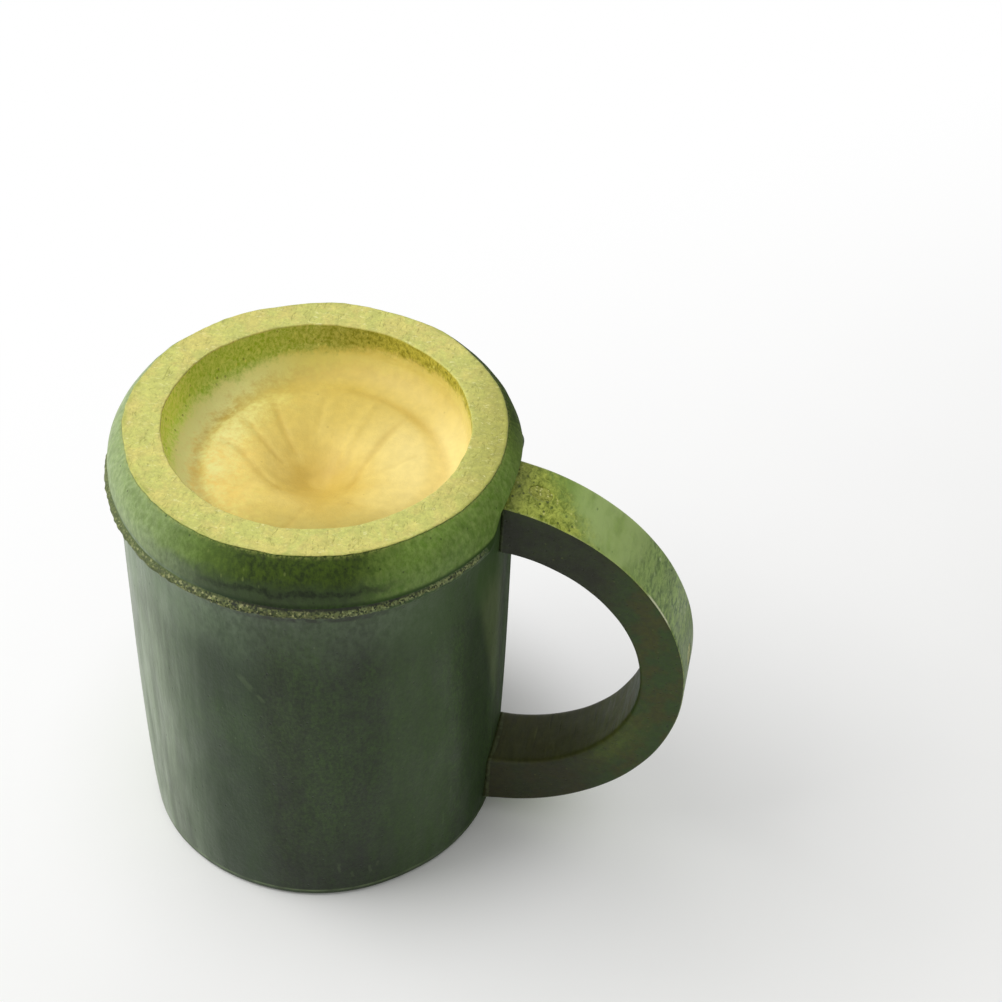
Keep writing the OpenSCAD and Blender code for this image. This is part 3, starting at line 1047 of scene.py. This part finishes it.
def edge_wear_and_highlight(p, colour):
    """Pale wear along the slice's long edges, and a painted highlight at one place on the near one."""
    half = HANDLE_W / 2
    patchy = p.span(p.noise(1.6, 7, rough=0.7), 0.42, 0.6, 0.1, 0.8)
    colour.over((172, 182, 112), p.span(p.calc("ABSOLUTE", p.y), half - 0.9, half - 0.3), patchy)
    # Painted highlight: a short bright line on the near edge
    painted_sheen = p.both(p.band(p.x, 73.0, 74.2, 78.0, 79.4), p.span(p.z, 60, 64))
    uneven = p.span(p.noise(0.8, 13), 0.35, 0.5, 0.55, 1.0)
    colour.over((226, 230, 190), p.span(p.y, 0.95 - half, 0.55 - half), painted_sheen, uneven)


def handle_skin_material():
    """The handle's skin: lighter green, planed to olive fibre at its top end."""
    p = Paint("handle_skin", 1.32)
    patches = p.noise(8, 1, (1, 0.5, 1), rough=0.5)
    grass = p.noise(0.9, 2, (1, 0.3, 1), 4, 0.75, 0.5)
    fibre = p.noise(1.3, 3, (1, 0.6, 1), 5, 0.75, 0.8)
    pits = p.speckle(2.2, 0.14, (1, 0.5, 1), 10, 0.3)
    wavy_x = p.plus(p.x, p.both(p.noise(4, 9, (1, 0.5, 1)), 12))
    colour = sheen_green(p, patches).over(outer_green(p, grass), p.span(wavy_x, 73, 82), 0.85)
    # Painted shade: darker on the handle's outermost turn
    colour.over((60, 84, 20), p.span(p.x, 80, 84, 0, 0.6))
    ragged = p.plus(p.both(p.noise(3.2, 6, detail=4, rough=0.7), -13), p.both(p.y, 0.7))
    planed_end = p.both(p.span(p.plus(p.x, ragged), 53, 42), p.span(p.z, 60, 80))
    colour.over(planed_olive(p, fibre), planed_end)
    colour.over((66, 92, 24), pits, 0.45)
    edge_wear_and_highlight(p, colour)
    p.bump((grass, 0.06), (fibre, 0.07), (patches, 0.15), (pits, -0.06))
    return p.done(colour, p.span(patches, 0.3, 0.7, 0.36, 0.5))


def sliced_green(p, patches):
    """The slice's dark wood: olive low down, greener to the outside, with painted light on the hole's
    lower face.
    """
    from_hole = p.length(p.minus(p.x, HOLE_X), p.minus(p.z, HOLE_Z))
    low_down = p.span(p.z, 50, 34)
    colour = p.ramp(patches, 0.35, 0.65, (28, 32, 13), (38, 48, 18))
    olive = p.ramp(patches, 0.4, 0.6, (46, 46, 14), (38, 44, 14))
    colour.over(olive, p.span(p.z, 34, 16), p.span(p.x, 76, 60, 0, 0.8))
    outer = p.ramp(patches, 0.4, 0.6, (60, 64, 16), (46, 68, 20))
    colour.over(outer, p.span(p.x, 60, 76, 0, 0.85))
    # Painted light: lighter on the hole's lower face near its edge
    glow = p.both(p.span(from_hole, HOLE_R + 8, HOLE_R + 2), p.span(p.x, 58, 70), low_down)
    uneven = p.span(p.noise(3, 7), 0.3, 0.65, 0.25, 0.65)
    colour.over((76, 90, 26), glow, uneven)
    # Painted light: the hole's own face is lighter low down
    return colour.over((70, 72, 30), p.span(from_hole, HOLE_R + 0.8, HOLE_R + 0.2), low_down, 0.5)


def handle_inner_material():
    """The handle's sawn sides and inside: dark wood, with a worn seam at the cup."""
    p = Paint("handle_cut", 1.37)
    grain = p.noise(0.8, 2, (1, 0.15, 1), 4, 0.7)
    ends = p.speckle(1.3, 0.24, (1, 0.1, 1), 3)
    colour = sliced_green(p, p.noise(6, 1, detail=4))
    colour.tone(p.noise(1.6, 6, (1, 0.3, 1), 4, 0.65), 0.82, 1.18)
    colour.tone(grain, 0.82, 1.18).over((18, 20, 7), ends, 0.4)
    colour.dots((92, 98, 46), 0.35, 1.9, 0.16, (1, 0.1, 1), 4, 0.35)
    seam = p.span(p.noise(1.4, 8), 0.35, 0.6, 0.05, 0.5)
    colour.over((88, 100, 62), p.span(p.radius, 42.9, 42.5), seam)
    p.bump((grain, 0.05), (ends, -0.05), (p.noise(5, 5, detail=4, rough=0.55), 0.14))
    return p.done(colour, p.span(grain, 0.3, 0.7, 0.44, 0.6))


def peg_material():
    """Cut bamboo: pitted olive fibre with pale flecks."""
    p = Paint("peg_bamboo", 1.32)
    fibre = p.noise(1.0, 1, detail=5, rough=0.75, twist=0.6)
    colour = p.ramp(fibre, 0.34, 0.66, (106, 114, 22), (172, 178, 80))
    colour.dots((64, 76, 10), 0.75, 1.1, 0.3, seed=2)
    colour.dots((218, 218, 142), 0.75, 0.8, 0.36, seed=3, keep=0.6)
    p.bump((fibre, 0.06))
    return p.done(colour, 0.46)


# Camera, floor and light

# The photograph's camera, fitted to the cup: mm, radians, and the degrees the handle is turned by
CAMERA_AWAY, CAMERA_HEIGHT = 315.14, 384.24
CAMERA_TURNS = 0.124735, 0.757014, 0.053673
HANDLE_TURN = 16.9
FOCAL_PX, IMAGE_PX, SENSOR = 2000.0, 1002.0, 36.0
NEAREST = 0.01
# The floor in metres, just under the cup's foot
FLOOR_HALF, FLOOR_Z = 3.0, -0.00005
# The lamp and the sky's bright side: degrees round the cup and up, and the lamp's metres and watts
LAMP_AT, SKY_AT = (190.0, 54.0), (178.0, 48.0)
LAMP_REACH, LAMP_SIZE, LAMP_WATTS = 1.3, 0.9, 9.0


def from_angle(around, up):
    """The direction at an angle round the cup and an angle up."""
    a, tilt = math.radians(around), math.radians(up)
    return Vector((math.cos(a) * math.cos(tilt), math.sin(a) * math.cos(tilt), math.sin(tilt)))


def make_camera():
    yaw, pitch, roll = CAMERA_TURNS
    ahead = Vector((math.sin(yaw) * math.cos(pitch), math.cos(yaw) * math.cos(pitch), -math.sin(pitch)))
    level = Vector((math.cos(yaw), -math.sin(yaw), 0))
    over = level.cross(ahead)
    right = level * math.cos(roll) + over * math.sin(roll)
    up = over * math.cos(roll) - level * math.sin(roll)
    turn = Matrix.Rotation(math.radians(HANDLE_TURN), 3, "Z")
    axes = Matrix((turn @ right, turn @ up, turn @ -ahead)).transposed()
    place = turn @ Vector((0, -CAMERA_AWAY, CAMERA_HEIGHT)) * MM
    lens = bpy.data.cameras.new("camera")
    lens.sensor_width = SENSOR
    lens.lens = FOCAL_PX / IMAGE_PX * SENSOR
    lens.clip_start = NEAREST
    camera = add("camera", lens)
    camera.matrix_world = Matrix.Translation(place) @ axes.to_4x4()
    bpy.context.scene.camera = camera


def make_floor():
    """A plain pale floor that keeps the cup's shadow, is white further out, and is painted whiter toward
    the back left, where the light comes from.
    """
    mesh = bpy.data.meshes.new("floor")
    corners = [(x * FLOOR_HALF, y * FLOOR_HALF, 0) for x, y in ((-1, -1), (1, -1), (1, 1), (-1, 1))]
    mesh.from_pydata(corners, [], [(0, 1, 2, 3)])
    floor = add("floor", mesh)
    floor.location.z = FLOOR_Z
    p = Paint("floor", 1.5)
    tint = Colour(p, srgb(240, 240, 238)).tone(p.noise(60, 1, rough=0.5), 0.985, 1.01)
    p.bump((p.noise(4, 2, rough=0.5), 0.02))
    p.done(tint, 0.9)
    p.bsdf.inputs["Specular IOR Level"].default_value = 0.1
    # Painted light: the floor's white share grows toward the back left
    white_share = p.both(p.side(130, -120, 190, 0.2, 1.0), p.span(p.radius, 41, 76, 0.15, 1.0))
    white_share = p.most(white_share, p.span(p.radius, 260, 900))
    glow = p.node("ShaderNodeEmission")
    glow.inputs["Strength"].default_value = 1.0
    p.blend(p.both(p.sees_white(), white_share), p.bsdf, glow)
    mesh.materials.append(p.material)


def make_sky():
    """Soft light, brightest from the left and behind; the background itself is plain white."""
    world = bpy.data.worlds.new("studio")
    bpy.context.scene.world = world
    sky = Nodes(world, "ShaderNodeOutputWorld")
    toward = sky.node("ShaderNodeVectorMath", operation="DOT_PRODUCT")
    sky.feed(toward.inputs[0], sky.node("ShaderNodeTexCoord").outputs["Generated"])
    sky.feed(toward.inputs[1], from_angle(*SKY_AT))
    soft, white = sky.node("ShaderNodeBackground"), sky.node("ShaderNodeBackground")
    sky.feed(soft.inputs["Strength"], sky.span(toward.outputs["Value"], -0.35, 0.8, 0.1, 1.08, "LINEAR"))
    white.inputs["Color"].default_value = (1, 1, 1, 1)
    sky.blend(sky.sees_white(), soft, white)


def make_lamp():
    lamp = bpy.data.lights.new("window", "AREA")
    lamp.shape = "DISK"
    lamp.size = LAMP_SIZE
    lamp.energy = LAMP_WATTS
    place = from_angle(*LAMP_AT) * LAMP_REACH
    aim(add("window", lamp), place, place)


# The cup

OUTSIDE_ROWS = [row for row in culm_profile() if row[2] in ("skin", "scar")]

make_camera()
make_floor()
make_sky()
make_lamp()
sawn = sawn_material()
make_culm({
    "skin": culm_skin("culm_skin", 1.37),
    "shoulder": culm_skin("culm_shoulder", 1.26),
    "scar": scar_material(),
    "rim": sawn,
    "bowl": bowl_material(),
    "hollow": hollow_material(),
    "foot": sawn,
})
sliced = handle_inner_material()
make_handle({"skin": handle_skin_material(), "cut": sliced, "hole": sliced})
peg_finish = peg_material()
for name in ("upper_peg", "lower_peg", "handle_plug"):
    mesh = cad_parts[name].data
    mesh.materials.clear()
    mesh.materials.append(peg_finish)

bpy.context.scene.view_settings.view_transform = "Standard"
